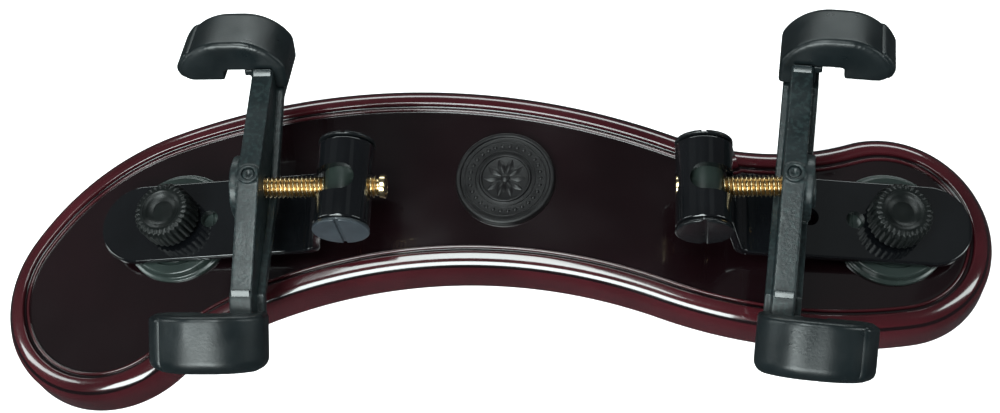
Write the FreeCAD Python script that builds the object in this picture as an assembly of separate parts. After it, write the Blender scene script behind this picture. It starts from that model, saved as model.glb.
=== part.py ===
import FreeCAD, Part
import math
import os

# Violin shoulder rest, folded for storage and lying on its pad, violin side up.
# Millimetres. X runs along the shell, Y across it, +Z away from the player's shoulder.
# The origin is on the table under the middle of the shell, on the line between the two stem pivots.

V = FreeCAD.Vector
X_AXIS = V(1, 0, 0)
Y_AXIS = V(0, 1, 0)
Z_AXIS = V(0, 0, 1)
ORIGIN = V(0, 0, 0)
SIDES = ("left", "right")

# Shell: a kidney outline, extruded and cut to an arch that is bent about an axis parallel to Y.
ARCH_RADIUS = 500.0        # of the recessed floor
FLOOR_APEX_Z = 30.55       # height of the floor at mid length
RIM_HEIGHT = 1.2           # rim above the floor
WALL_DEPTH = 11.8          # side wall below the floor
PLATE_THICKNESS = 4.0
WALL_THICKNESS = 3.0
RIM_WIDTH = 4.8            # rim bead, from the outer wall to the recess
RIM_FILLET = 4.2
WALL_FOOT_FILLET = 2.4
RIDGE_INSET = 5.6          # thin raised line inside the rim
RIDGE_WIDTH = 0.8
RIDGE_HEIGHT = 0.7
PAD_DEPTH = 16.8           # underside of the foam below the floor
PAD_GAP = 0.3

# Kidney outline: four main arcs (centre x, centre y, radius) joined by tangent blends.
# A negative radius curves inwards.
LEFT_LOBE = (-93.0, -15.0, 27.4)
TOP_EDGE = (-23.5, -164.5, 199.5)
RIGHT_LOBE = (95.4, -0.5, 25.0)
LOW_EDGE = (-4.8, -153.0, -139.5)
SHOULDER_BLEND = 64.0      # left lobe to top edge
NECK_BLEND = -60.0         # top edge to right lobe
RIGHT_BLEND = 111.0        # right lobe to low edge
LEFT_BLEND = -59.0         # low edge to left lobe

# Medallion on the floor.
MEDALLION_AT = (4.5, 9.9)
MEDALLION_RADIUS = 12.0
MEDALLION_INNER = 6.2
MEDALLION_HEIGHT = 0.9
MEDALLION_RING = 1.2
MEDALLION_PROUD = 0.5      # rings above the plate

# Thumb screw places, measured along X.
SCREW_X = {"left": -75.5, "right": 95.3}
PEDESTAL_RADIUS = 14.1
PEDESTAL_HEIGHT = 2.6
INSERT_RADIUS = 3.2
INSERT_DEPTH = 3.6
STUD_RADIUS = 2.0
RUNNING_CLEARANCE = 0.05
MOVING_GAP = 0.3

# Bracket: bent sheet with a rolled eye at its inner end.
SHEET = 2.0
TONGUE_WIDTH = 20.0
TONGUE_END = 18.8          # outer end, from the thumb screw
BARREL_REACH = 47.9        # pivot axis, inwards from the thumb screw
PIVOT_RISE = 12.4          # pivot axis above the tongue's top
EYE_BORE = 4.55
RISER_LEAN = 20.0          # degrees
BEND_RADIUS = 2.5
ROLL_END = 300.0           # degrees, where the rolled sheet stops
SLOT_WIDTH = 6.4
WIDTH_HOLES = (9.4, 20.4) # spare holes, inwards from the thumb screw
WIDTH_HOLE_RADIUS = 2.2

# Thumb knob.
WASHER_RADIUS = 5.5
WASHER_THICKNESS = 0.8
KNOB_RADIUS = 7.3
KNOB_TOP = 7.5             # above the tongue's top
KNURL_COUNT = 30
KNURL_RADIUS = 0.55
DISH_RADIUS = 4.6
DISH_DEPTH = 1.4
KNOB_SHOULDER = 2.0        # rounding round the knob's top
BUTTON_INSET = 1.2
BUTTON_HEIGHT = 0.9
BUTTON_EDGE = 0.5

# Pivot barrel.
BARREL_RADIUS = 4.5
BARREL_HALF = 10.3
CAP_RADIUS = 6.6
CAP_THICKNESS = 1.0
CAP_SLOT = 1.0
SPIGOT_RADIUS = 2.0
SPIGOT_LENGTH = 4.0

# Stem: M5 brass screw. Distances run outwards from the pivot axis.
STEM_RADIUS = 2.5
FORK_FACE = {"left": 18.3, "right": 17.3}
STEM_TIP = {"left": 9.8, "right": 6.4}
NECK_RADIUS = 1.7
COLLAR_RADIUS = 2.75
COLLAR_LENGTH = 1.5
HEAD_RADIUS = 4.2
HEAD_LENGTH = 1.5
HEAD_START = 3.5           # from the fork's inner face
PIN_CLEARANCE = 0.3        # pin hole above the head

# Fork: a shallow V bar on edge, with its hub in the middle.
BAR = 5.0
BAR_TOP = 7.6              # near edge above the stem at the hub
BAR_TOP_END = 3.6          # and at the ledges
BAR_DEPTH = 8.0
LEDGE_Y = 28.7
HUB_RADIUS = 7.4
HUB_PROUD = 2.0
HUB_CAP_RADIUS = 5.0
HUB_CAP_PROUD = 0.4
HUB_CAP_EDGE = 0.3
BAR_FOOT = 1.0             # hub below the bar's lower edge
FLANGE = 1.6               # side flanges along the bar's lower edge
FLANGE_DEPTH = 2.2
FLANGE_SLANT = 0.4
PIN_RADIUS = 1.5
PIN_BOSS_RADIUS = 2.4
PIN_BOSS_PROUD = 0.4
FORK_SKEW = {"left": 0.0, "right": -6.0}  # degrees about Z, how the bar sits across its stem

# Claws, in a frame that leans down outwards along the violin's edge.
CLAW_LEAN = 26.0           # degrees
CLAW_SPAN = {"front": (3.3, 16.5), "rear": (0.0, 15.0)}  # start and end, from the ledge
BAR_REACH = 15.0           # how far the bar runs past the ledge
CLAW_BACK = 7.5            # above the throat's roof
CLAW_START = -2.8
CLAW_END = 23.0
CLAW_WALL = -5.4           # lower edge of the rubber beside the bar
BACK_FLAT = (8.5, 12.0)    # highest part of the domed back
BACK_FOOT = 0.3            # where the dome meets the claw's sides
LIP_DEPTH = 3.0
LIP_ROUND = 3.4
THROAT_START = 7.0
THROAT_END = 12.0
CORE_INSET = 2.2           # rubber over the claw's core
CORE_TOP = 4.8             # core above the throat's roof
GRIP_DEPTH = 7.0
GRIP_STEP = 0.7


def polar(radius, degrees):
    angle = math.radians(degrees)
    return radius * math.cos(angle), radius * math.sin(angle)


def cylinder(radius, start, end, axis=Z_AXIS, at=ORIGIN):
    """A cylinder from start to end along an axis through a point."""
    return Part.makeCylinder(radius, end - start, at + axis * start, axis)


def box(low, high):
    return Part.makeBox(high[0] - low[0], high[1] - low[1], high[2] - low[2], V(*low))


def turned(shape, axis, degrees, at=ORIGIN):
    copy = shape.copy()
    copy.rotate(at, axis, degrees)
    return copy


# ---- shell outline -------------------------------------------------------------------------

def blend(first, second, radius, side):
    """The arc of a given signed radius that is tangent to two others."""
    reach_1 = abs(radius - first[2])
    reach_2 = abs(radius - second[2])
    across = V(second[0] - first[0], second[1] - first[1], 0)
    span = across.Length
    along = (reach_1 ** 2 - reach_2 ** 2 + span ** 2) / (2 * span)
    off = math.sqrt(reach_1 ** 2 - along ** 2) * side
    unit = across / span
    return (first[0] + along * unit.x - off * unit.y, first[1] + along * unit.y + off * unit.x, radius)


def touch_point(first, second):
    """Where two tangent arcs of signed radius meet."""
    normal = V(second[0] - first[0], second[1] - first[1], 0) / (first[2] - second[2])
    normal.normalize()
    return V(first[0], first[1], 0) + normal * first[2]


def arc_between(circle, start, end):
    """The arc from start to end, clockwise round an outward bulge and anticlockwise round a hollow."""
    centre = V(circle[0], circle[1], 0)
    a0 = math.atan2(start.y - centre.y, start.x - centre.x)
    a1 = math.atan2(end.y - centre.y, end.x - centre.x)
    if circle[2] > 0 and a1 > a0:
        a1 -= 2 * math.pi
    if circle[2] < 0 and a1 < a0:
        a1 += 2 * math.pi
    middle = (a0 + a1) / 2
    radius = abs(circle[2])
    peak = centre + V(radius * math.cos(middle), radius * math.sin(middle), 0)
    return Part.Arc(start, peak, end).toShape()


def kidney(inset):
    """The closed kidney outline, moved inwards by inset."""
    shoulder = blend(LEFT_LOBE, TOP_EDGE, SHOULDER_BLEND, 1)
    neck = blend(TOP_EDGE, RIGHT_LOBE, NECK_BLEND, 1)
    right = blend(RIGHT_LOBE, LOW_EDGE, RIGHT_BLEND, -1)
    left = blend(LOW_EDGE, LEFT_LOBE, LEFT_BLEND, -1)
    circles = [LEFT_LOBE, shoulder, TOP_EDGE, neck, RIGHT_LOBE, right, LOW_EDGE, left]
    circles = [(c[0], c[1], c[2] - inset) for c in circles]
    count = len(circles)
    joints = [touch_point(circles[i], circles[(i + 1) % count]) for i in range(count)]
    arcs = [arc_between(circles[i], joints[i - 1], joints[i]) for i in range(count)]
    return Part.Wire(arcs)


def arched(inset, low, high):
    """A layer of the shell: the outline cut to heights low to high above the arched floor."""
    prism = Part.Face(kidney(inset)).extrude(Z_AXIS * (2 * FLOOR_APEX_Z))
    axis_at = V(0, -100, FLOOR_APEX_Z - ARCH_RADIUS)
    outer = Part.makeCylinder(ARCH_RADIUS + high, 200, axis_at, Y_AXIS)
    inner = Part.makeCylinder(ARCH_RADIUS + low, 200, axis_at, Y_AXIS)
    return prism.common(outer).cut(inner).removeSplitter()


def rim_edges(solid, above):
    """The closed chain of edges round a layer's top or underside."""
    chosen = []
    for edge in solid.Edges:
        at = edge.valueAt((edge.FirstParameter + edge.LastParameter) / 2)
        level = math.hypot(at.x, at.z - FLOOR_APEX_Z + ARCH_RADIUS)
        if abs(level - above) < 0.01 and abs(edge.tangentAt(edge.FirstParameter).z) < 0.5:
            chosen.append(edge)
    return chosen


# ---- frames --------------------------------------------------------------------------------

def tilt(side):
    """Degrees that the arched floor falls away outwards at a thumb screw."""
    return math.degrees(math.asin(abs(SCREW_X[side]) / ARCH_RADIUS))


def bracket_frame(shape, side):
    """From the bracket's frame (thumb screw axis on the floor, X outwards) to the rest's frame."""
    placed = turned(shape, Y_AXIS, tilt(side))
    if side == "left":
        placed.rotate(ORIGIN, Z_AXIS, 180)
    lean = math.radians(tilt(side))
    sign = -1 if side == "left" else 1
    rise = FLOOR_APEX_Z - ARCH_RADIUS * (1 - math.cos(lean))
    placed.translate(V(sign * ARCH_RADIUS * math.sin(lean), 0, rise))
    return placed


def pivot_point(side):
    """The pivot axis of a stem, in the rest's frame."""
    mark = Part.Vertex(-BARREL_REACH, 0, eye_height())
    return bracket_frame(mark, side).Point


def stem_frame(shape, side):
    """From a stem's frame (pivot at the origin, X outwards along the stem) to the rest's frame."""
    placed = shape.copy()
    if side == "left":
        placed.rotate(ORIGIN, Z_AXIS, 180)
    placed.translate(pivot_point(side))
    return placed


def tongue_low():
    return PEDESTAL_HEIGHT + MOVING_GAP


def tongue_top():
    return tongue_low() + SHEET


def eye_height():
    return tongue_top() + PIVOT_RISE


# ---- shell body ----------------------------------------------------------------------------

def screw_hole(side, radius, low, high):
    return bracket_frame(cylinder(radius, low, high), side)


def make_shell():
    body = arched(0, -WALL_DEPTH, RIM_HEIGHT)
    body = body.makeFillet(RIM_FILLET, rim_edges(body, ARCH_RADIUS + RIM_HEIGHT))
    body = body.makeFillet(WALL_FOOT_FILLET, rim_edges(body, ARCH_RADIUS - WALL_DEPTH))
    body = body.cut(arched(RIM_WIDTH, 0, 2 * RIM_HEIGHT))
    ridge = arched(RIDGE_INSET, 0, RIDGE_HEIGHT).cut(arched(RIDGE_INSET + RIDGE_WIDTH, 0, RIDGE_HEIGHT))
    body = body.fuse(ridge)
    body = body.cut(arched(WALL_THICKNESS, -WALL_DEPTH - 1, -PLATE_THICKNESS))
    for side in SIDES:
        body = body.cut(screw_hole(side, INSERT_RADIUS, -INSERT_DEPTH, 1))
    return body


def make_pad():
    return arched(WALL_THICKNESS + PAD_GAP, -PAD_DEPTH, -PLATE_THICKNESS)


def floor_disc(x, y, radius, low, high):
    disc = cylinder(radius, 0, 2 * FLOOR_APEX_Z, at=V(x, y, 0))
    axis_at = V(0, -100, FLOOR_APEX_Z - ARCH_RADIUS)
    outer = Part.makeCylinder(ARCH_RADIUS + high, 200, axis_at, Y_AXIS)
    inner = Part.makeCylinder(ARCH_RADIUS + low, 200, axis_at, Y_AXIS)
    return disc.common(outer).cut(inner)


def make_medallion():
    x, y = MEDALLION_AT
    plate = floor_disc(x, y, MEDALLION_RADIUS, 0, MEDALLION_HEIGHT)
    tall = MEDALLION_HEIGHT + MEDALLION_PROUD
    rim = floor_disc(x, y, MEDALLION_RADIUS, 0, tall)
    rim = rim.cut(floor_disc(x, y, MEDALLION_RADIUS - MEDALLION_RING, -1, tall + 1))
    inner = floor_disc(x, y, MEDALLION_INNER, 0, tall)
    inner = inner.cut(floor_disc(x, y, MEDALLION_INNER - MEDALLION_RING / 2, -1, tall + 1))
    return plate.fuse([rim, inner])


def make_pedestal(side):
    disc = bracket_frame(cylinder(PEDESTAL_RADIUS, -1, PEDESTAL_HEIGHT), side)
    axis_at = V(0, -100, FLOOR_APEX_Z - ARCH_RADIUS)
    disc = disc.cut(Part.makeCylinder(ARCH_RADIUS, 200, axis_at, Y_AXIS))
    return disc.cut(screw_hole(side, STUD_RADIUS + MOVING_GAP, -2, PEDESTAL_HEIGHT + 1))


def make_insert(side):
    sleeve = cylinder(INSERT_RADIUS, -INSERT_DEPTH, -0.1)
    sleeve = sleeve.cut(cylinder(STUD_RADIUS + RUNNING_CLEARANCE, -INSERT_DEPTH - 1, 1))
    return bracket_frame(sleeve, side)


# ---- bracket -------------------------------------------------------------------------------

def plane_point(centre, radius, degrees):
    """A point in the bracket's X-Z plane."""
    across, up = polar(radius, degrees)
    return V(centre[0] + across, 0, centre[1] + up)


def plane_arc(centre, radius, start, end):
    middle = (start + end) / 2
    points = [plane_point(centre, radius, angle) for angle in (start, middle, end)]
    return Part.Arc(*points).toShape()


def sheet_profile():
    """The bent sheet seen from its edge: tongue, bend, leaning riser and rolled eye."""
    low = tongue_low()
    top = tongue_top()
    eye = (-BARREL_REACH, eye_height())
    eye_outer = EYE_BORE + SHEET
    bend_outer = BEND_RADIUS + SHEET
    bend_z = top + BEND_RADIUS
    lean = math.radians(RISER_LEAN)
    gap = eye_outer + BEND_RADIUS
    bend_x = eye[0] + ((eye[1] - bend_z) * math.sin(lean) + gap) / math.cos(lean)
    bend = (bend_x, bend_z)
    turn = 180 + RISER_LEAN
    tip_low = V(TONGUE_END, 0, low)
    tip_top = V(TONGUE_END, 0, top)
    edges = [
        Part.makeLine(tip_low, plane_point(bend, bend_outer, 270)),
        plane_arc(bend, bend_outer, 270, turn),
        Part.makeLine(plane_point(bend, bend_outer, turn), plane_point(eye, EYE_BORE, RISER_LEAN)),
        plane_arc(eye, EYE_BORE, RISER_LEAN, ROLL_END),
        Part.makeLine(plane_point(eye, EYE_BORE, ROLL_END), plane_point(eye, eye_outer, ROLL_END)),
        plane_arc(eye, eye_outer, ROLL_END, RISER_LEAN),
        Part.makeLine(plane_point(eye, eye_outer, RISER_LEAN), plane_point(bend, BEND_RADIUS, turn)),
        plane_arc(bend, BEND_RADIUS, turn, 270),
        Part.makeLine(plane_point(bend, BEND_RADIUS, 270), tip_top),
        Part.makeLine(tip_top, tip_low),
    ]
    return Part.Face(Part.Wire(edges))


def fold_slot(start, reach):
    """A quarter-turn slot through the eye wall for one end of the stem."""
    eye = (-BARREL_REACH, eye_height())
    half = SLOT_WIDTH / 2
    corners = [V(eye[0], 0, eye[1])]
    corners += [plane_point(eye, reach, start + step) for step in (0, 30, 60, 90)]
    wedge = Part.Face(Part.makePolygon(corners + corners[:1])).extrude(Y_AXIS * SLOT_WIDTH)
    wedge.translate(Y_AXIS * -half)
    ends = []
    for angle in (start, start + 90):
        way = plane_point((0, 0), 1, angle)
        ends.append(Part.makeCylinder(half, reach, V(eye[0], 0, eye[1]), way))
    return wedge.fuse(ends)


def make_bracket(side):
    half = TONGUE_WIDTH / 2
    sheet = sheet_profile().extrude(Y_AXIS * TONGUE_WIDTH)
    sheet.translate(Y_AXIS * -half)
    round_end = TONGUE_END - half
    tall = eye_height() + 2 * CAP_RADIUS
    plan = box((-BARREL_REACH - 2 * CAP_RADIUS, -half, 0), (round_end, half, tall))
    plan = plan.fuse(cylinder(half, 0, tall, at=V(round_end, 0, 0)))
    sheet = sheet.common(plan)
    sheet = sheet.cut(cylinder(STUD_RADIUS + RUNNING_CLEARANCE, 0, tall))
    for back in WIDTH_HOLES:
        sheet = sheet.cut(cylinder(WIDTH_HOLE_RADIUS, 0, tall, at=V(-back, 0, 0)))
    level = tilt(side)
    sheet = sheet.cut(fold_slot(level, 3 * EYE_BORE))
    sheet = sheet.cut(fold_slot(180 + level, 2 * EYE_BORE))
    return bracket_frame(sheet, side)


def make_washer(side):
    top = tongue_top()
    ring = cylinder(WASHER_RADIUS, top, top + WASHER_THICKNESS)
    ring = ring.cut(cylinder(STUD_RADIUS + MOVING_GAP, top - 1, top + 2))
    return bracket_frame(ring, side)


# ---- thumb knob ----------------------------------------------------------------------------

def knob_low():
    return tongue_top() + WASHER_THICKNESS + MOVING_GAP


def make_knob(side):
    low = knob_low()
    top = tongue_top() + KNOB_TOP
    knob = cylinder(KNOB_RADIUS, low, top)
    knob = knob.makeFillet(KNOB_SHOULDER, [e for e in knob.Edges if abs(e.CenterOfMass.z - top) < 0.01])
    knob = knob.cut(cylinder(DISH_RADIUS, top - DISH_DEPTH, top + 1))
    for index in range(KNURL_COUNT):
        across, up = polar(KNOB_RADIUS + KNURL_RADIUS / 2, index * 360.0 / KNURL_COUNT)
        knob = knob.cut(cylinder(KNURL_RADIUS, low - 1, top + 1, at=V(across, up, 0)))
    knob = knob.cut(cylinder(STUD_RADIUS, low - 1, top - DISH_DEPTH - 1))
    return bracket_frame(knob, side)


def make_stud(side):
    top = tongue_top() + KNOB_TOP - DISH_DEPTH - 1
    return bracket_frame(cylinder(STUD_RADIUS, -INSERT_DEPTH + 0.2, top), side)


def make_knob_button(side):
    """Domed trim button in the knob's dish."""
    floor = tongue_top() + KNOB_TOP - DISH_DEPTH
    button = cylinder(DISH_RADIUS - BUTTON_INSET, floor, floor + BUTTON_HEIGHT)
    upper = [e for e in button.Edges if abs(e.CenterOfMass.z - floor - BUTTON_HEIGHT) < 0.01]
    button = button.makeFillet(BUTTON_EDGE, upper)
    return bracket_frame(button, side)


# ---- pivot barrel --------------------------------------------------------------------------

def make_barrel(side):
    barrel = cylinder(BARREL_RADIUS, -BARREL_HALF, BARREL_HALF, Y_AXIS)
    bore = cylinder(STEM_RADIUS + RUNNING_CLEARANCE, -2 * BARREL_RADIUS, 2 * BARREL_RADIUS, X_AXIS)
    barrel = barrel.cut(bore)
    for sign in (-1, 1):
        deep = BARREL_HALF - SPIGOT_LENGTH
        hole = cylinder(SPIGOT_RADIUS, deep, BARREL_HALF + 1, Y_AXIS * sign)
        barrel = barrel.cut(hole)
    return stem_frame(barrel, side)


def make_barrel_cap(side, sign):
    """A slotted end cap; sign is the end of the barrel it closes."""
    way = Y_AXIS * sign
    outer = BARREL_HALF + CAP_THICKNESS
    cap = cylinder(CAP_RADIUS, BARREL_HALF, outer, way)
    rim = [e for e in cap.Edges if abs(abs(e.CenterOfMass.y) - outer) < 0.01]
    cap = cap.makeFillet(CAP_THICKNESS / 3, rim)
    half = CAP_SLOT / 2
    slot = box((-half, BARREL_HALF + CAP_THICKNESS / 2, -CAP_RADIUS), (half, outer + 1, CAP_RADIUS))
    if sign < 0:
        slot.rotate(ORIGIN, Z_AXIS, 180)
    cap = cap.cut(slot)
    cap = cap.fuse(cylinder(SPIGOT_RADIUS, BARREL_HALF - SPIGOT_LENGTH, BARREL_HALF, way))
    return stem_frame(cap, side)


# ---- stem ----------------------------------------------------------------------------------

def make_stem(side):
    tip = -STEM_TIP[side]
    face = FORK_FACE[side]
    shoulder = tip + COLLAR_LENGTH + MOVING_GAP
    head = face + HEAD_START
    screw = cylinder(STEM_RADIUS, shoulder, head, X_AXIS)
    screw = screw.fuse(cylinder(NECK_RADIUS, tip, shoulder, X_AXIS))
    screw = screw.fuse(cylinder(HEAD_RADIUS, head, head + HEAD_LENGTH, X_AXIS))
    return stem_frame(screw, side)


def make_collar(side):
    tip = -STEM_TIP[side]
    ring = cylinder(COLLAR_RADIUS, tip, tip + COLLAR_LENGTH, X_AXIS)
    ring = ring.cut(cylinder(NECK_RADIUS + RUNNING_CLEARANCE, tip - 1, tip + COLLAR_LENGTH + 1, X_AXIS))
    return stem_frame(ring, side)


# ---- fork ----------------------------------------------------------------------------------

def fork_frame(shape, side):
    """From the fork's frame (inner face at X = 0, stem along X) to the rest's frame."""
    placed = turned(shape, Z_AXIS, FORK_SKEW[side], V(BAR / 2, 0, 0))
    placed.translate(X_AXIS * FORK_FACE[side])
    return stem_frame(placed, side)


def claw_frame(shape, sign):
    """From a claw's frame (ledge corner, Y along the violin's edge) to the fork's frame."""
    placed = turned(shape, X_AXIS, -CLAW_LEAN)
    placed.translate(V(0, LEDGE_Y, BAR_TOP_END))
    if sign < 0:
        placed = placed.mirror(ORIGIN, Y_AXIS)
    return placed


def bar_outline():
    """Half of the bar's outline in the Y-Z plane, from the hub to the far end of a claw."""
    lean = math.radians(CLAW_LEAN)
    along = (math.cos(lean), -math.sin(lean))
    up = (math.sin(lean), math.cos(lean))
    end_y = LEDGE_Y + BAR_REACH * along[0]
    end_z = BAR_TOP_END + BAR_REACH * along[1]
    return [
        (0, BAR_TOP),
        (LEDGE_Y, BAR_TOP_END),
        (end_y, end_z),
        (end_y - BAR_DEPTH * up[0], end_z - BAR_DEPTH * up[1]),
        (LEDGE_Y - BAR_DEPTH * up[0], BAR_TOP_END - BAR_DEPTH * up[1]),
        (0, -HUB_RADIUS + BAR_FOOT),
    ]


def bar_layer(x_low, x_high, outline):
    """The V outline, mirrored about the hub, as a plate between two X stations."""
    points = [V(x_low, y, z) for y, z in outline]
    points += [V(x_low, -y, z) for y, z in reversed(outline[1:-1])]
    return Part.Face(Part.makePolygon(points + points[:1])).extrude(X_AXIS * (x_high - x_low))


def flange_outline():
    """The strip along the bar's lower edge that carries the side flanges."""
    lower = bar_outline()[3:]
    raised = [(y + FLANGE_SLANT * FLANGE_DEPTH, z + FLANGE_DEPTH) for y, z in lower[:2]]
    return [(0, -HUB_RADIUS + BAR_FOOT + FLANGE_DEPTH)] + raised[::-1] + lower


def end_of(side, sign):
    """Which claw stands at +Y (sign 1) or -Y (sign -1) in a fork's own frame."""
    return "front" if (sign > 0) == (side == "left") else "rear"


def claw_core(side, sign):
    """The plastic finger inside a claw's rubber."""
    start, end = CLAW_SPAN[end_of(side, sign)]
    low_y = start + CORE_INSET
    high_y = end - CORE_INSET
    core = box((CORE_INSET, low_y, 0), (CLAW_END - 2 * CORE_INSET, high_y, CORE_TOP))
    core = core.cut(box((BAR, low_y - 1, -1), (CLAW_END, high_y + 1, CORE_INSET / 2)))
    return claw_frame(core, sign)


def make_fork(side):
    fork = bar_layer(0, BAR, bar_outline())
    fork = fork.fuse(bar_layer(-FLANGE, BAR + FLANGE, flange_outline()))
    fork = fork.fuse(cylinder(HUB_RADIUS, 0, BAR + HUB_PROUD, X_AXIS))
    boss = cylinder(PIN_BOSS_RADIUS, 0, BAR_TOP + PIN_BOSS_PROUD, at=V(BAR / 2, 0, 0))
    fork = fork.fuse(boss)
    for sign in (-1, 1):
        fork = fork.fuse(claw_core(side, sign))
    head_end = HEAD_START + HEAD_LENGTH
    fork = fork_frame(fork, side)
    for radius, start, end in (
        (STEM_RADIUS, -FLANGE - 1, HEAD_START),
        (HEAD_RADIUS, HEAD_START, head_end),
        (HUB_CAP_RADIUS, head_end, BAR + HUB_PROUD + 2),
    ):
        bore = cylinder(radius, FORK_FACE[side] + start, FORK_FACE[side] + end, X_AXIS)
        fork = fork.cut(stem_frame(bore, side))
    pin_hole = cylinder(PIN_RADIUS, HEAD_RADIUS + PIN_CLEARANCE, 2 * BAR_TOP, at=V(BAR / 2, 0, 0))
    return fork.cut(fork_frame(pin_hole, side))


def make_fork_pin(side):
    pin = cylinder(PIN_RADIUS, HEAD_RADIUS + PIN_CLEARANCE, BAR_TOP, at=V(BAR / 2, 0, 0))
    return fork_frame(pin, side)


def make_hub_cap(side):
    start = FORK_FACE[side] + HEAD_START + HEAD_LENGTH
    end = FORK_FACE[side] + BAR + HUB_PROUD + HUB_CAP_PROUD
    cap = cylinder(HUB_CAP_RADIUS, start, end, X_AXIS)
    cap = cap.makeFillet(HUB_CAP_EDGE, [e for e in cap.Edges if abs(e.CenterOfMass.x - end) < 0.01])
    return stem_frame(cap, side)


def dome_point(flat_x, foot_x):
    """The middle of the arc that leaves the flat of the back level and falls to one side."""
    run = foot_x - flat_x
    rise = CLAW_BACK - BACK_FOOT
    radius = (run ** 2 + rise ** 2) / (2 * rise)
    half = math.asin(run / radius) / 2
    return V(flat_x + radius * math.sin(half), 0, CLAW_BACK - radius * (1 - math.cos(half)))


def claw_profile():
    """The hook seen from its end: wall beside the bar, domed back, rounded lip and open throat."""
    left, right = BACK_FLAT
    foot = V(CLAW_START, 0, BACK_FOOT)
    tip = V(CLAW_END, 0, BACK_FOOT)
    lip = V(CLAW_END - LIP_ROUND, 0, -LIP_DEPTH)
    share = math.sqrt(0.5)
    lip_middle = V(lip.x + share * LIP_ROUND, 0, BACK_FOOT - share * (LIP_DEPTH + BACK_FOOT))
    crown_left = V(left, 0, CLAW_BACK)
    crown_right = V(right, 0, CLAW_BACK)
    corners = [lip, V(THROAT_END, 0, -LIP_DEPTH), V(THROAT_END, 0, 0), V(0, 0, 0), V(0, 0, CLAW_WALL),
               V(CLAW_START, 0, CLAW_WALL), foot]
    edges = [Part.makeLine(a, b) for a, b in zip(corners, corners[1:])]
    edges += [
        Part.Arc(foot, dome_point(left, CLAW_START), crown_left).toShape(),
        Part.makeLine(crown_left, crown_right),
        Part.Arc(crown_right, dome_point(right, CLAW_END), tip).toShape(),
        Part.Arc(tip, lip_middle, lip).toShape(),
    ]
    return Part.Face(Part.Wire(edges))


def make_claw_cover(side, sign):
    """Rubber hook: a domed back over the core, and a lip that closes the throat."""
    start, end = CLAW_SPAN[end_of(side, sign)]
    block = claw_profile().extrude(Y_AXIS * (end - start))
    block.translate(Y_AXIS * start)
    cover = claw_frame(block, sign).cut(claw_core(side, sign))
    return fork_frame(cover, side)


def make_grip(side, sign):
    """Stepped rubber strip on the bar's outer face, opposite the lip."""
    start, end = CLAW_SPAN[end_of(side, sign)]
    end = min(end, BAR_REACH)
    strip = box((BAR, start, -GRIP_DEPTH + FLANGE_DEPTH), (THROAT_START, end, 0))
    for step in (1, 2):
        low = -GRIP_DEPTH
        high = -step * (GRIP_DEPTH - FLANGE_DEPTH) / 3
        inner = THROAT_START - GRIP_STEP * (3 - step)
        strip = strip.cut(box((inner, start - 1, low), (THROAT_START + 1, end + 1, high)))
    return fork_frame(claw_frame(strip, sign), side)


# ---- all pieces ----------------------------------------------------------------------------

def side_pieces(side):
    pieces = {
        "pedestal": make_pedestal(side),
        "insert": make_insert(side),
        "bracket": make_bracket(side),
        "washer": make_washer(side),
        "thumb_knob": make_knob(side),
        "knob_stud": make_stud(side),
        "knob_button": make_knob_button(side),
        "pivot_barrel": make_barrel(side),
        "stem": make_stem(side),
        "stop_collar": make_collar(side),
        "fork": make_fork(side),
        "fork_pin": make_fork_pin(side),
        "hub_cap": make_hub_cap(side),
    }
    front = 1 if side == "left" else -1
    for name, sign in (("front", front), ("rear", -front)):
        pieces["barrel_cap_" + name] = make_barrel_cap(side, sign)
        pieces["claw_cover_" + name] = make_claw_cover(side, sign)
        pieces["grip_strip_" + name] = make_grip(side, sign)
    return {side + "_" + name: shape for name, shape in pieces.items()}


def all_pieces():
    pieces = {"shell": make_shell(), "shoulder_pad": make_pad(), "medallion": make_medallion()}
    for side in SIDES:
        pieces.update(side_pieces(side))
    return pieces


os.makedirs("parts", exist_ok=True)
for node, shape in all_pieces().items():
    solids = shape.Solids
    if len(solids) == 1:
        shape = solids[0]
    shape.exportStep("parts/" + node + ".step")
    extent = shape.BoundBox
    print(node, len(solids), shape.isValid(), round(shape.Volume, 1),
          [round(v, 2) for v in (extent.XMin, extent.YMin, extent.ZMin, extent.XMax, extent.YMax, extent.ZMax)])
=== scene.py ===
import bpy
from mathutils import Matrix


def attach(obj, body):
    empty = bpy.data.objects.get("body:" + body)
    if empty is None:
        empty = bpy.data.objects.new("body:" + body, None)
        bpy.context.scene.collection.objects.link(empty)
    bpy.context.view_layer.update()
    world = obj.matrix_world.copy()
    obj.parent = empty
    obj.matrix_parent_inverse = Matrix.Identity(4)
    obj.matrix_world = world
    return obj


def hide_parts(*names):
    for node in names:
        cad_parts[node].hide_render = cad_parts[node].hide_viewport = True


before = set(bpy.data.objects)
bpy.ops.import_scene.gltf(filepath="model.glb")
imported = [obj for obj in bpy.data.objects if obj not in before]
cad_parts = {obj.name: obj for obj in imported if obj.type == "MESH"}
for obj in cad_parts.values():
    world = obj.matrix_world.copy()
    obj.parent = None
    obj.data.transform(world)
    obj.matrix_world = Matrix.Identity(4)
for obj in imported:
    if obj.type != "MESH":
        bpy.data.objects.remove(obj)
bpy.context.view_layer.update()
import math

import bmesh
import bpy
from mathutils import Euler, Matrix, Vector, geometry, noise

# Violin shoulder rest. Shapes are worked out in millimetres in the CAD frame and stored in metres.
MM = 0.001
SIDES = ("left", "right")

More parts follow.
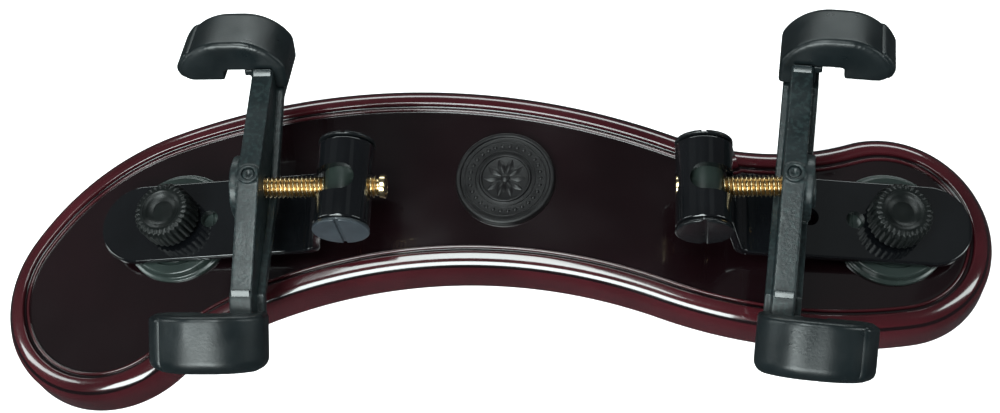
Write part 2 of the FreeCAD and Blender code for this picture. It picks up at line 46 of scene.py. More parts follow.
# The CAD model's driving sizes.
ARCH_RADIUS = 500.0
FLOOR_APEX_Z = 30.55
LEFT_LOBE = (-93.0, -15.0, 27.4)
TOP_EDGE = (-23.5, -164.5, 199.5)
RIGHT_LOBE = (95.4, -0.5, 25.0)
LOW_EDGE = (-4.8, -153.0, -139.5)
SHOULDER_BLEND, NECK_BLEND, RIGHT_BLEND, LEFT_BLEND = 64.0, -60.0, 111.0, -59.0
MEDALLION_AT = (4.5, 9.9)
MEDALLION_FACE = 0.9
SCREW_X = {"left": -75.5, "right": 95.3}
PEDESTAL_RADIUS = 14.1
PEDESTAL_HEIGHT = 2.6
MOVING_GAP = 0.3
SHEET = 2.0
TONGUE_END = 18.8
TONGUE_HALF = 10.0
BARREL_REACH = 47.9
PIVOT_RISE = 12.4          # pivot axis above the tongue
EYE_BORE = 4.55
RISER_LEAN = 20.0
BEND_RADIUS = 2.5
ROLL_END = 300.0
SLOT_WIDTH = 6.4
WIDTH_HOLES = (9.4, 20.4)
WIDTH_HOLE_RADIUS = 2.2
WASHER_RADIUS = 5.5
WASHER_THICKNESS = 0.8
KNOB_RADIUS = 7.3
KNOB_RISE = 7.5            # knob's top above the tongue
KNURLS = 30
DISH_DEPTH = 1.4
DISH_RADIUS = 4.6
STUD_RADIUS = 2.0
BARREL_RADIUS = 4.5
BARREL_HALF = 10.3
STEM_RADIUS = 2.5
STEM_TIP = {"left": 9.8, "right": 6.4}
NECK_RADIUS = 1.7
FORK_FACE = {"left": 18.3, "right": 17.3}
FORK_SKEW = {"left": 0.0, "right": -6.0}
HEAD_START = 3.5           # from the fork's inner face
BAR = 5.0
BAR_TOP = 7.6
BAR_TOP_END = 3.6
LEDGE_Y = 28.7
CLAW_LEAN = 26.0
CLAW_SPAN = {"front": (3.3, 16.5), "rear": (0.0, 15.0)}

# Heights above the floor at the thumb screw, which follow from them.
TONGUE_LOW = PEDESTAL_HEIGHT + MOVING_GAP
TONGUE_TOP = TONGUE_LOW + SHEET
EYE_HEIGHT = TONGUE_TOP + PIVOT_RISE
WASHER_TOP = TONGUE_TOP + WASHER_THICKNESS
KNOB_LOW = WASHER_TOP + MOVING_GAP

# Sizes of the visible pieces alone. Some differ a little from the CAD's.
PLATE_UNDERSIDE = -4.3     # this and PAD_DEPTH are measured from the floor
PAD_DEPTH = 17.0
BEADS = 30
ROSETTE_PETALS = 10
SCREW_HOLE_RADIUS = 2.1
KNURL_DEPTH = 0.36
STUD_PITCH = 0.7
STUD_ENDS = (-3.3, 9.0)
STEM_PITCH = 1.0
GROOVE_RADIUS = 2.16       # the painted groove shade starts below this
HEAD_RADIUS = 4.1
HEAD_END = 4.9             # from the fork's inner face

HARD_EDGE = 35             # degrees; sharper edges stay hard
WELD = 2e-6                # metres; closer points are joined


# ---- small mesh tools ----------------------------------------------------------------------

def rounded(points, steps=5, closed=False):
    """A polyline of (across, up, fillet radius) with its corners rounded."""
    result = []
    last = len(points) - 1
    for index, (across, up, radius) in enumerate(points):
        if radius == 0 or (not closed and index in (0, last)):
            result.append((across, up))
            continue
        corner = Vector((across, up))
        back = (Vector(points[index - 1][:2]) - corner).normalized()
        ahead = (Vector(points[(index + 1) % len(points)][:2]) - corner).normalized()
        half = back.angle(ahead) / 2
        centre = corner + (back + ahead).normalized() * (radius / math.sin(half))
        first = corner + back * (radius / math.tan(half)) - centre
        final = corner + ahead * (radius / math.tan(half)) - centre
        start = math.atan2(first.y, first.x)
        sweep = math.atan2(final.y, final.x) - start
        sweep = (sweep + math.pi) % (2 * math.pi) - math.pi
        for step in range(steps + 1):
            angle = start + sweep * step / steps
            result.append((centre.x + radius * math.cos(angle), centre.y + radius * math.sin(angle)))
    return result


def join_loops(first, second, closed=True):
    """Faces between two rows of vertex numbers; a row of one is a point."""
    faces = []
    count = max(len(first), len(second))
    for index in range(count if closed else count - 1):
        after = (index + 1) % count
        if len(first) == 1:
            faces.append((first[0], second[after], second[index]))
        elif len(second) == 1:
            faces.append((first[index], first[after], second[0]))
        else:
            faces.append((first[index], first[after], second[after], second[index]))
    return faces


def lathe(profile, steps=96, reach=None):
    """A turned form round Z from (radius, height) pairs; reach changes a radius with the angle."""
    verts, rows = [], []
    for radius, height in profile:
        if radius < 1e-6:
            rows.append([len(verts)])
            verts.append((0.0, 0.0, height))
            continue
        row = []
        for index in range(steps):
            angle = 2 * math.pi * index / steps
            size = reach(radius, angle) if reach else radius
            row.append(len(verts))
            verts.append((size * math.cos(angle), size * math.sin(angle), height))
        rows.append(row)
    faces = []
    for first, second in zip(rows, rows[1:]):
        faces += join_loops(first, second)
    return verts, faces


def ring_lathe(profile, steps=96):
    """A turned ring whose profile closes on itself."""
    return lathe(profile + profile[:1], steps)


def soften(obj, sharp=HARD_EDGE):
    """Merge doubles, turn the faces outwards and shade smooth except at hard corners."""
    work = bmesh.new()
    work.from_mesh(obj.data)
    bmesh.ops.remove_doubles(work, verts=work.verts, dist=WELD)
    bmesh.ops.recalc_face_normals(work, faces=work.faces)
    work.to_mesh(obj.data)
    work.free()
    obj.data.shade_smooth()
    obj.data.set_sharp_from_angle(angle=math.radians(sharp))


def settle(obj, body, materials, nodes=()):
    """Give a piece its materials, its body and the CAD nodes that it stands for."""
    for material in materials:
        obj.data.materials.append(material)
    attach(obj, body)
    if nodes:
        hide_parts(*nodes)
    return obj


def new_piece(name, shape, matrix=None, sharp=HARD_EDGE):
    """A mesh object from (vertices in mm, faces), put in place by a matrix in mm."""
    verts, faces = shape
    place = matrix or Matrix.Identity(4)
    mesh = bpy.data.meshes.new(name)
    mesh.from_pydata([(place @ Vector(v)) * MM for v in verts], [], faces)
    obj = bpy.data.objects.new(name, mesh)
    bpy.context.collection.objects.link(obj)
    soften(obj, sharp)
    return obj


def merged(shapes):
    """Several (vertices, faces) shapes as one."""
    verts, faces = [], []
    for more_verts, more_faces in shapes:
        base = len(verts)
        verts += [tuple(v) for v in more_verts]
        faces += [tuple(index + base for index in face) for face in more_faces]
    return verts, faces


def moved(shape, matrix):
    return [tuple(matrix @ Vector(v)) for v in shape[0]], shape[1]


def apply_modifiers(obj):
    """Bake an object's modifiers into its own mesh."""
    graph = bpy.context.evaluated_depsgraph_get()
    mesh = bpy.data.meshes.new_from_object(obj.evaluated_get(graph), depsgraph=graph)
    obj.modifiers.clear()
    obj.data = mesh


def cut_with(obj, tools):
    """Cut a piece with the union of several closed tools."""
    cutter = new_piece("cutter", tools[0])
    for tool in tools[1:]:
        extra = new_piece("extra", tool)
        union = cutter.modifiers.new("union", "BOOLEAN")
        union.operation = "UNION"
        union.solver = "EXACT"
        union.object = extra
        apply_modifiers(cutter)
        bpy.data.objects.remove(extra)
    cut = obj.modifiers.new("cut", "BOOLEAN")
    cut.operation = "DIFFERENCE"
    cut.solver = "EXACT"
    cut.object = cutter
    apply_modifiers(obj)
    bpy.data.objects.remove(cutter)


def cad_copy(node, name):
    """A new object with a copy of a CAD node's mesh, joined along its seams."""
    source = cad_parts[node]
    mesh = source.data.copy()
    mesh.materials.clear()
    obj = bpy.data.objects.new(name, mesh)
    bpy.context.collection.objects.link(obj)
    work = bmesh.new()
    work.from_mesh(mesh)
    bmesh.ops.remove_doubles(work, verts=work.verts, dist=WELD)
    work.to_mesh(mesh)
    work.free()
    return obj


def moulded(node, name, voxel, passes):
    """A moulded copy of a CAD node: one skin with its corners softened."""
    obj = cad_copy(node, name)
    skin = obj.modifiers.new("skin", "REMESH")
    skin.mode = "VOXEL"
    skin.voxel_size = voxel * 1.0 * MM
    ease = obj.modifiers.new("ease", "SMOOTH")
    ease.factor = 0.5
    ease.iterations = passes
    apply_modifiers(obj)
    obj.data.shade_smooth()
    return obj


def even_shading(obj, sharp):
    """Smooth shading that follows the larger faces, with hard corners kept."""
    soften(obj, sharp)
    even = obj.modifiers.new("even", "WEIGHTED_NORMAL")
    even.keep_sharp = True
    apply_modifiers(obj)


def turned_copy(node, name):
    """A CAD node's own turned shape, shaded smooth."""
    obj = cad_copy(node, name)
    even_shading(obj, 32)
    return obj


# ---- frames --------------------------------------------------------------------------------

def tilt(side):
    return math.asin(abs(SCREW_X[side]) / ARCH_RADIUS)


def bracket_frame(side):
    """From the bracket's frame (thumb screw axis on the floor, X outwards) to the rest's frame."""
    lean = tilt(side)
    sign = -1 if side == "left" else 1
    rise = FLOOR_APEX_Z - ARCH_RADIUS * (1 - math.cos(lean))
    shift = Matrix.Translation((sign * ARCH_RADIUS * math.sin(lean), 0, rise))
    half_turn = Matrix.Rotation(math.pi, 4, "Z") if side == "left" else Matrix.Identity(4)
    return shift @ half_turn @ Matrix.Rotation(lean, 4, "Y")


def stem_frame(side):
    """From a stem's frame (pivot at the origin, X outwards) to the rest's frame."""
    pivot = bracket_frame(side) @ Vector((-BARREL_REACH, 0, EYE_HEIGHT))
    half_turn = Matrix.Rotation(math.pi, 4, "Z") if side == "left" else Matrix.Identity(4)
    return Matrix.Translation(pivot) @ half_turn


def fork_frame(side):
    """From the fork's frame (inner face at X = 0) to the rest's frame."""
    middle = Vector((BAR / 2, 0, 0))
    skew = Matrix.Rotation(math.radians(FORK_SKEW[side]), 4, "Z")
    skewed = Matrix.Translation(middle) @ skew @ Matrix.Translation(-middle)
    return stem_frame(side) @ Matrix.Translation((FORK_FACE[side], 0, 0)) @ skewed


def claw_frame(side, end):
    """From a claw's frame (ledge corner, Y along the violin's edge) to the rest's frame."""
    ahead = (side == "left") == (end == "front")
    mirror = Matrix.Identity(4) if ahead else Matrix.Scale(-1, 4, (0, 1, 0))
    corner = Matrix.Translation((0, LEDGE_Y, BAR_TOP_END))
    return fork_frame(side) @ mirror @ corner @ Matrix.Rotation(-math.radians(CLAW_LEAN), 4, "X")


ALONG_X = Matrix.Rotation(math.pi / 2, 4, "Y")
ALONG_Y = Matrix.Rotation(-math.pi / 2, 4, "X")


# ---- materials -----------------------------------------------------------------------------

def surface(name, colour, rough, vary=0.12, vary_scale=90, smudge=0.06, smudge_scale=45,
            grain=0.0, grain_scale=1500, metallic=0.0, coat=0.0, coat_rough=0.04, specular=0.5,
            second=None, second_scale=400, second_edge=0.12):
    """A procedural finish: colour that drifts, roughness with handling marks, and a fine relief."""
    material = bpy.data.materials.new(name)
    material.use_nodes = True
    tree = material.node_tree
    shader = tree.nodes["Principled BSDF"]
    shader.inputs["Metallic"].default_value = metallic
    shader.inputs["Coat Weight"].default_value = coat
    shader.inputs["Coat Roughness"].default_value = coat_rough
    shader.inputs["Specular IOR Level"].default_value = specular
    place = tree.nodes.new("ShaderNodeTexCoord").outputs["Object"]

    def cloud(scale, detail=4.0):
        node = tree.nodes.new("ShaderNodeTexNoise")
        node.inputs["Scale"].default_value = scale
        node.inputs["Detail"].default_value = detail
        tree.links.new(place, node.inputs["Vector"])
        return node.outputs["Fac"]

    def spread(source, low, high, start=0.3, end=0.7):
        node = tree.nodes.new("ShaderNodeMapRange")
        node.inputs["From Min"].default_value = start
        node.inputs["From Max"].default_value = end
        node.inputs["To Min"].default_value = low
        node.inputs["To Max"].default_value = high
        tree.links.new(source, node.inputs["Value"])
        return node.outputs["Result"]

    def mixed(factor, first, last):
        node = tree.nodes.new("ShaderNodeMix")
        node.data_type = "RGBA"
        tree.links.new(factor, node.inputs["Factor"])
        for socket, value in ((node.inputs["A"], first), (node.inputs["B"], last)):
            if isinstance(value, tuple):
                socket.default_value = (*value, 1.0)
            else:
                tree.links.new(value, socket)
        return node.outputs["Result"]

    dark = tuple(c * (1 - vary) for c in colour)
    light = tuple(min(1.0, c * (1 + vary)) for c in colour)
    tint = mixed(spread(cloud(vary_scale), 0.0, 1.0), dark, light)
    if second:
        specks = spread(cloud(second_scale, 6.0), 0.0, 1.0, 0.5, 0.5 + second_edge)
        tint = mixed(specks, tint, second)
    tree.links.new(tint, shader.inputs["Base Color"])
    marks = spread(cloud(smudge_scale, 6.0), max(0.02, rough - smudge), min(1.0, rough + smudge))
    tree.links.new(marks, shader.inputs["Roughness"])
    if grain > 0:
        bump = tree.nodes.new("ShaderNodeBump")
        bump.inputs["Strength"].default_value = 1.0
        bump.inputs["Distance"].default_value = grain * MM
        tree.links.new(cloud(grain_scale, 3.0), bump.inputs["Height"])
        tree.links.new(bump.outputs["Normal"], shader.inputs["Normal"])
    return material


RIM_LACQUER = surface("rim_lacquer", (0.046, 0.0060, 0.0090), 0.18, vary=0.35, vary_scale=35, smudge=0.05,
                      coat=1.0, coat_rough=0.06)
# A darker copy of the rim lacquer: painted shade for the floor, its grooves and the undersides.
FLOOR_LACQUER_PAINTED_SHADE = surface("floor_lacquer_painted_shade", (0.0062, 0.0020, 0.0028), 0.17, vary=0.4, vary_scale=25, smudge=0.06,
                        coat=1.0, coat_rough=0.05)
FOAM = surface("foam", (0.030, 0.031, 0.033), 0.92, vary=0.25, vary_scale=220, smudge=0.05,
               grain=0.35, grain_scale=1400, specular=0.25, second=(0.006, 0.006, 0.007), second_scale=1300)
MEDALLION_GREY = surface("medallion_grey", (0.0065, 0.0058, 0.0064), 0.38, vary=0.25, vary_scale=500,
                         smudge=0.08, smudge_scale=300, grain=0.02, grain_scale=2200, specular=0.35)
PEDESTAL_PLASTIC = surface("pedestal_plastic", (0.024, 0.034, 0.031), 0.28, vary=0.2, smudge=0.06,
                           grain=0.006, grain_scale=1500, coat=0.4, coat_rough=0.12)
BRASS = surface("brass", (0.80, 0.64, 0.38), 0.22, vary=0.10, vary_scale=600, smudge=0.06, smudge_scale=700,
                grain=0.008, grain_scale=4000, metallic=1.0, second=(0.60, 0.45, 0.24), second_scale=900,
                second_edge=0.35)
# Darker brass for painted shade in the thread grooves.
BRASS_PAINTED_SHADE = surface("brass_painted_shade", (0.42, 0.27, 0.11), 0.36, vary=0.2, vary_scale=600, smudge=0.06,
                       smudge_scale=700, metallic=1.0)
BRACKET_BLACK = surface("bracket_black", (0.0038, 0.0042, 0.0052), 0.14, vary=0.2, smudge=0.05,
                        grain=0.0012, grain_scale=300, coat=1.0, coat_rough=0.05)
STEEL = surface("steel", (0.30, 0.30, 0.32), 0.30, vary=0.1, smudge=0.08, smudge_scale=400,
                grain=0.006, grain_scale=3000, metallic=1.0)
KNOB_BLACK = surface("knob_black", (0.0055, 0.0068, 0.0066), 0.36, vary=0.25, vary_scale=300, smudge=0.08,
                     smudge_scale=250, grain=0.02, grain_scale=2500, specular=0.28)
CAP_SLATE = surface("cap_slate", (0.032, 0.040, 0.048), 0.34, vary=0.15, vary_scale=300, smudge=0.07,
                    smudge_scale=250, grain=0.008, grain_scale=2500)
CAP_BLACK = surface("cap_black", (0.006, 0.007, 0.008), 0.22, vary=0.15, vary_scale=300, smudge=0.07,
                    smudge_scale=250, grain=0.006, grain_scale=2500)
PIVOT_BLACK = surface("pivot_black", (0.016, 0.024, 0.021), 0.34, vary=0.15, smudge=0.06, grain=0.008,
                      grain_scale=2500)
FORK_PLASTIC = surface("fork_plastic", (0.0075, 0.0125, 0.0140), 0.38, vary=0.25, vary_scale=180, smudge=0.09,
                       smudge_scale=170, grain=0.05, grain_scale=1300, second=(0.016, 0.027, 0.028),
                       second_scale=1000)
LEDGE_PLASTIC = surface("ledge_plastic", (0.010, 0.0155, 0.0175), 0.20, vary=0.15, vary_scale=180,
                        smudge=0.05, smudge_scale=300, grain=0.006, grain_scale=2000)
RUBBER = surface("rubber", (0.0052, 0.0085, 0.0098), 0.36, vary=0.25, vary_scale=120, smudge=0.09,
                 smudge_scale=140, grain=0.022, grain_scale=1600)


# ---- shell ---------------------------------------------------------------------------------

def blend(first, second, radius, side):
    """The arc of a given signed radius that is tangent to two others."""
    reach_1 = abs(radius - first[2])
    reach_2 = abs(radius - second[2])
    across = Vector((second[0] - first[0], second[1] - first[1]))
    span = across.length
    along = (reach_1 ** 2 - reach_2 ** 2 + span ** 2) / (2 * span)
    off = math.sqrt(reach_1 ** 2 - along ** 2) * side
    unit = across / span
    return (first[0] + along * unit.x - off * unit.y, first[1] + along * unit.y + off * unit.x, radius)


def kidney_samples(spacing):
    """(arc, outward angle) pairs round the outline, the same for every inset."""
    shoulder = blend(LEFT_LOBE, TOP_EDGE, SHOULDER_BLEND, 1)
    neck = blend(TOP_EDGE, RIGHT_LOBE, NECK_BLEND, 1)
    right = blend(RIGHT_LOBE, LOW_EDGE, RIGHT_BLEND, -1)
    left = blend(LOW_EDGE, LEFT_LOBE, LEFT_BLEND, -1)
    arcs = [LEFT_LOBE, shoulder, TOP_EDGE, neck, RIGHT_LOBE, right, LOW_EDGE, left]
    turns = []
    for index, first in enumerate(arcs):
        second = arcs[(index + 1) % len(arcs)]
        normal = Vector((second[0] - first[0], second[1] - first[1])) / (first[2] - second[2])
        turns.append(math.atan2(normal.y, normal.x))
    samples = []
    for index, arc in enumerate(arcs):
        start = turns[index - 1]
        end = turns[index]
        if arc[2] > 0 and end > start:
            end -= 2 * math.pi
        if arc[2] < 0 and end < start:
            end += 2 * math.pi
        count = max(4, int(abs((end - start) * arc[2]) / spacing))
        samples += [(arc, start + (end - start) * step / count) for step in range(count)]
    return samples


OUTLINE = kidney_samples(1.1)


def arch_height(x, level):
    return FLOOR_APEX_Z - ARCH_RADIUS + math.sqrt((ARCH_RADIUS + level) ** 2 - x * x)


def outline_row(inset):
    """The outline moved inwards, as (x, y) points."""
    row = []
    for (centre_x, centre_y, radius), angle in OUTLINE:
        reach = radius - inset
        row.append((centre_x + reach * math.cos(angle), centre_y + reach * math.sin(angle)))
    return row


def swept(profile):
    """Vertices and faces of an (inset, level) profile run round the outline."""
    verts, rows = [], []
    for inset, level in profile:
        row = outline_row(inset)
        rows.append(list(range(len(verts), len(verts) + len(row))))
        verts += [(x, y, arch_height(x, level)) for x, y in row]
    faces = []
    for first, second in zip(rows, rows[1:]):
        faces += join_loops(first, second)
    return verts, faces


def filled(inset, level, spacing):
    """The area inside the inset outline as a fine triangle mesh that follows the arch."""
    row = outline_row(inset)
    points = [Vector(p) for p in row]
    edges = [(i, (i + 1) % len(row)) for i in range(len(row))]
    half_length = 118.0
    low_y = -48
    width = 90
    for i in range(int(2 * half_length / spacing)):
        for j in range(int(width / spacing)):
            x = -half_length + (i + 0.5 * (j % 2)) * spacing
            y = low_y + j * spacing
            points.append(Vector((x, y)))
    found, _, faces, _, _, _ = geometry.delaunay_2d_cdt(points, edges, [], 1, 1e-5)
    return [(p.x, p.y, arch_height(p.x, level)) for p in found], [tuple(f) for f in faces]


def make_shell():
    """The lacquered shell: wall, rolled rim, groove, raised line and recessed floor."""
    floor_edge = 7.2
    inner_wall = 3.2
    wall = [(inner_wall, PLATE_UNDERSIDE, 0), (inner_wall, -11.75, 0.45), (0.0, -11.8, 2.3)]
    rim = [(0.0, 1.2, 4.1), (4.75, 1.2, 0.45), (4.9, 0.0, 0.3)]
    ridge = [(5.65, 0.0, 0.08), (5.72, 0.7, 0.28), (6.28, 0.7, 0.28), (6.38, 0.0, 0.15)]
    spacing = 2.6
    sides = swept(rounded(wall + rim + ridge + [(floor_edge, 0.0, 0)], 7))
    floor = filled(floor_edge, 0.0, spacing)
    under = filled(inner_wall, PLATE_UNDERSIDE, 6.0)
    shell = new_piece("shell_body", merged([sides, floor, under]), sharp=50)
    settle(shell, "shell", [RIM_LACQUER, FLOOR_LACQUER_PAINTED_SHADE], ["shell"])
    # Painted shade on the recessed floor, its grooves and the faces that look down.
    paint_floor_shade(shell)
    return shell


def paint_floor_shade(shell):
    """Painted shade: a darker copy of the lacquer goes on the floor, its grooves and what looks down; the
    raised line stays red.
    """
    for face in shell.data.polygons:
        middle = face.center / MM
        level = math.hypot(middle.x, middle.z - FLOOR_APEX_Z + ARCH_RADIUS) - ARCH_RADIUS
        if abs(level) < 0.25 or level < -3.9 and face.normal.z < -0.9:
            face.material_index = 1


def make_pad():
    """The foam: full at its edge, softly crowned, and pressed flat where it meets the table."""
    def rest_on_table(z):
        return z if z > 1.2 else 0.05 + 1.15 * math.exp((z - 1.2) / 1.15)

    top_inset, top_level = 3.45, -4.2
    bottom_inset = 14.0
    edge = rounded([(top_inset, top_level, 0), (top_inset, -10.5, 2.0), (2.6, -13.2, 2.2), (3.1, -16.0, 2.4),
                    (7.5, -16.7, 3.0), (bottom_inset, -PAD_DEPTH, 0)], 6)
    bottom = filled(bottom_inset, -PAD_DEPTH, 3.0)
    top = filled(top_inset, top_level, 6.0)
    verts, faces = merged([swept(edge), bottom, top])
    shaped = []
    for x, y, z in verts:
        wave = noise.noise(Vector((x, y, z)) * 0.035) * 0.35 + noise.noise(Vector((x, y, z)) * 0.35) * 0.07
        below = arch_height(x, -9.0) - z
        push = wave * min(1.0, max(0.0, below / 3))
        shaped.append((x, y, rest_on_table(z + push)))
    pad = new_piece("foam_pad", (shaped, faces), sharp=60)
    settle(pad, "shell", [FOAM], ["shoulder_pad"])
    return pad


def bead(x, y, z, radius, squash=0.7):
    """A low dome standing on a face."""
    profile = [(radius * math.cos(a), radius * squash * math.sin(a)) for a in (0, 0.35, 0.75, 1.15)]
    profile.append((0, radius * squash))
    return moved(lathe(profile, 14), Matrix.Translation((x, y, z)))


def petal(angle, inner, outer, half, z, rise):
    """One raised leaf of the rosette."""
    verts, rows = [], []
    for step in range(7):
        along = step / 6
        radius = inner + (outer - inner) * along
        width = half * math.sin(math.pi * (0.08 + 0.84 * along))
        row = []
        for side in (-1, -0.5, 0, 0.5, 1):
            row.append(len(verts))
            lift = rise * (1 - side * side) * math.sin(math.pi * (0.1 + 0.8 * along))
            verts.append((radius, side * width, z + lift))
        rows.append(row)
    faces = []
    for first, second in zip(rows, rows[1:]):
        faces += join_loops(first, second, closed=False)
    return moved((verts, faces), Matrix.Rotation(angle, 4, "Z"))


def make_medallion():
    """A plain round badge: two raised rings, two fine ones, a ring of beads and a rosette."""
    face = MEDALLION_FACE
    inner_ring = [(5.55, face, 0.12), (5.65, 1.38, 0.16), (6.15, 1.38, 0.16), (6.3, face, 0.12)]
    outer_ring = [(10.7, face, 0.15), (10.85, 1.4, 0.2), (11.8, 1.4, 0.35), (12.0, 0.3, 0.1)]
    profile = rounded([(0, face, 0)] + inner_ring + outer_ring + [(12.0, -0.35, 0)], 4)
    shapes = [lathe(profile, 128)]
    for index in range(BEADS):
        angle = 2 * math.pi * index / BEADS
        shapes.append(bead(8.5 * math.cos(angle), 8.5 * math.sin(angle), face - 0.05, 0.52))
    for radius in (7.2, 9.8):
        ring = rounded([(radius - 0.16, face - 0.05, 0), (radius - 0.1, face + 0.22, 0.05),
                        (radius + 0.1, face + 0.22, 0.05), (radius + 0.16, face - 0.05, 0)], 3)
        shapes.append(lathe(ring, 128))
    for index in range(ROSETTE_PETALS):
        shapes.append(petal(2 * math.pi * index / ROSETTE_PETALS, 1.2, 5.0, 0.95, face - 0.03, 0.5))
    shapes.append(bead(0, 0, face - 0.05, 1.15, 0.5))
    x, y = MEDALLION_AT
    lean = Matrix.Rotation(math.asin(x / ARCH_RADIUS), 4, "Y")
    place = Matrix.Translation((x, y, arch_height(x, 0))) @ lean
    badge = new_piece("medallion_badge", merged(shapes), place, 40)
    return settle(badge, "shell", [MEDALLION_GREY], ["medallion"])


def make_pedestal(side):
    """A moulded round seat with a stepped edge and a shallow groove on top."""
    top = PEDESTAL_HEIGHT
    edge = PEDESTAL_RADIUS
    groove = [(9.4, top, 0.1), (9.7, top - 0.3, 0.12), (10.3, top - 0.3, 0.12), (10.6, top, 0.1)]
    step = [(edge - 1.3, top, 0.6), (edge - 0.9, 1.0, 0.4), (edge, 0.8, 0.3), (edge, -0.4, 0)]
    profile = rounded([(2.3, -0.3, 0), (2.3, top, 0.2)] + groove + step, 5)
    seat = new_piece(side + "_pedestal_seat", lathe(profile, 144), bracket_frame(side))
    return settle(seat, "shell", [PEDESTAL_PLASTIC], [side + "_pedestal"])


# ---- bracket -------------------------------------------------------------------------------

def sheet_path():
    """Stations along the middle of the bent sheet: distance, point and normal, in the X-Z plane."""
    bend_outer = BEND_RADIUS + SHEET
    bend_z = TONGUE_TOP + BEND_RADIUS
    lean = math.radians(RISER_LEAN)
    gap = EYE_BORE + SHEET + BEND_RADIUS
    bend_x = -BARREL_REACH + ((EYE_HEIGHT - bend_z) * math.sin(lean) + gap) / math.cos(lean)
    middle_z = (TONGUE_LOW + TONGUE_TOP) / 2
    stations = []
    round_end = TONGUE_END - TONGUE_HALF
    for step in range(19):
        angle = math.radians(5 * step)
        stations.append((round_end + TONGUE_HALF * math.cos(angle), middle_z, 0, 1))
    for step in range(1, 12):
        stations.append((round_end + (bend_x - round_end) * step / 12, middle_z, 0, 1))
    for step in range(17):
        angle = math.radians(270 - (90 - RISER_LEAN) * step / 16)
        across, up = math.cos(angle), math.sin(angle)
        reach = (BEND_RADIUS + bend_outer) / 2
        stations.append((bend_x + reach * across, bend_z + reach * up, -across, -up))
    roll_steps = 75
    for step in range(roll_steps + 1):
        angle = math.radians(RISER_LEAN + (ROLL_END - RISER_LEAN) * step / roll_steps)
        across, up = math.cos(angle), math.sin(angle)
        reach = EYE_BORE + SHEET / 2
        stations.append((-BARREL_REACH + reach * across, EYE_HEIGHT + reach * up, across, up))
    path = [(0.0, *stations[0])]
    for before, here in zip(stations, stations[1:]):
        run = math.hypot(here[0] - before[0], here[1] - before[1])
        path.append((path[-1][0] + run, *here))
    return path


def bent_sheet():
    """The rolled sheet with softened edges, in the bracket's frame."""
    path = sheet_path()
    length = path[-1][0]
    edge = 0.5
    turn = rounded([(edge, -1, 0), (0, -1, edge), (0, 1, edge), (edge, 1, 0)], 4)
    turn = [(max(inset, 0.0), level) for inset, level in turn]

    def outline(inset):
        half = []
        for distance, *_ in path[:-1]:
            if distance < TONGUE_HALF - 1e-6:
                up = math.sqrt(max(0.0, TONGUE_HALF ** 2 - (TONGUE_HALF - distance) ** 2))
                share = (TONGUE_HALF - inset) / TONGUE_HALF
                half.append((TONGUE_HALF - (TONGUE_HALF - distance) * share, up * share))
            else:
                half.append((min(distance, length - inset), TONGUE_HALF - inset))
        half.append((length - inset, TONGUE_HALF - inset))
        return half + [(distance, -across) for distance, across in reversed(half[1:])]

    def at(distance, across, level):
        for before, here in zip(path, path[1:]):
            if distance <= here[0] + 1e-9:
                break
        share = (distance - before[0]) / max(1e-9, here[0] - before[0])
        x, z, nx, nz = [before[k] + (here[k] - before[k]) * share for k in (1, 2, 3, 4)]
        size = math.hypot(nx, nz)
        return x + level * nx / size, across, z + level * nz / size

    verts, rows = [], []
    for inset, level in turn:
        loop = outline(inset)
        rows.append(list(range(len(verts), len(verts) + len(loop))))
        verts += [at(distance, across, level) for distance, across in loop]
    faces = []
    for first, second in zip(rows, rows[1:]):
        faces += join_loops(first, second)
    count = len(rows[0])
    for row in (rows[0], rows[-1]):
        faces.append((row[0], row[1], row[-1]))
        for index in range(1, count // 2):
            faces.append((row[index], row[index + 1], row[-index - 1], row[-index]))
    return verts, faces


def rod(radius, start, end):
    return lathe([(0, start), (radius, start), (radius, end), (0, end)], 48)


def slot_tools(start, reach, side_matrix):
    """Closed tools for a quarter-turn slot through the eye wall."""
    half = SLOT_WIDTH / 2
    count = 10
    verts = []
    for across in (-half, half):
        verts.append((-BARREL_REACH, across, EYE_HEIGHT))
        for step in range(count + 1):
            angle = math.radians(start + 90 * step / count)
            along, up = reach * math.cos(angle), reach * math.sin(angle)
            verts.append((-BARREL_REACH + along, across, EYE_HEIGHT + up))
    size = count + 2
    faces = [tuple(range(size)), tuple(reversed(range(size, 2 * size)))]
    faces += [(i, i + size, (i + 1) % size + size, (i + 1) % size) for i in range(size)]
    tools = [moved((verts, faces), side_matrix)]
    for angle in (start, start + 90):
        lean = Matrix.Rotation(math.pi / 2 - math.radians(angle), 4, "Y")
        place = side_matrix @ Matrix.Translation((-BARREL_REACH, 0, EYE_HEIGHT)) @ lean
        tools.append(moved(rod(half - 0.001, 0.0, reach * 0.999), place))
    return tools


def make_bracket(side):
    """Gloss black sheet with its rolled eye, round holes and folding slots."""
    place = bracket_frame(side)
    name = side + "_bracket_sheet"
    sheet = new_piece(name, moved(bent_sheet(), place))
    level = math.degrees(tilt(side))
    for tools in (
        slot_tools(level, 3 * EYE_BORE, place),
        slot_tools(180 + level, 2 * EYE_BORE, place),
    ):
        cut_with(sheet, tools)
    holes = [(0, SCREW_HOLE_RADIUS)] + [(back, WIDTH_HOLE_RADIUS) for back in WIDTH_HOLES]
    for back, radius in holes:
        hole = moved(rod(radius, 0.5, 7.5), place @ Matrix.Translation((-back, 0, 0)))
        cut_with(sheet, [hole])
    even_shading(sheet, 38)
    return settle(sheet, side + "_bracket", [BRACKET_BLACK], [side + "_bracket"])


def make_washer(side):
    inner, outer = 2.35, WASHER_RADIUS
    profile = rounded([(inner, TONGUE_TOP, 0.1), (inner, WASHER_TOP, 0.1), (outer, WASHER_TOP, 0.2),
                       (outer, TONGUE_TOP, 0.1)], 3, True)
    washer = new_piece(side + "_washer_ring", ring_lathe(profile, 72), bracket_frame(side))
    return settle(washer, side + "_bracket", [STEEL], [side + "_washer"])


# ---- thumb knob ----------------------------------------------------------------------------

def knurled(radius, angle):
    """The knob's radius with rounded grooves that run out towards its dish."""
    fade = min(1.0, max(0.0, (radius - 5.0) / 0.7))
    wave = 0.5 + 0.5 * math.cos(KNURLS * angle)
    return radius - KNURL_DEPTH * fade * wave ** 1.5


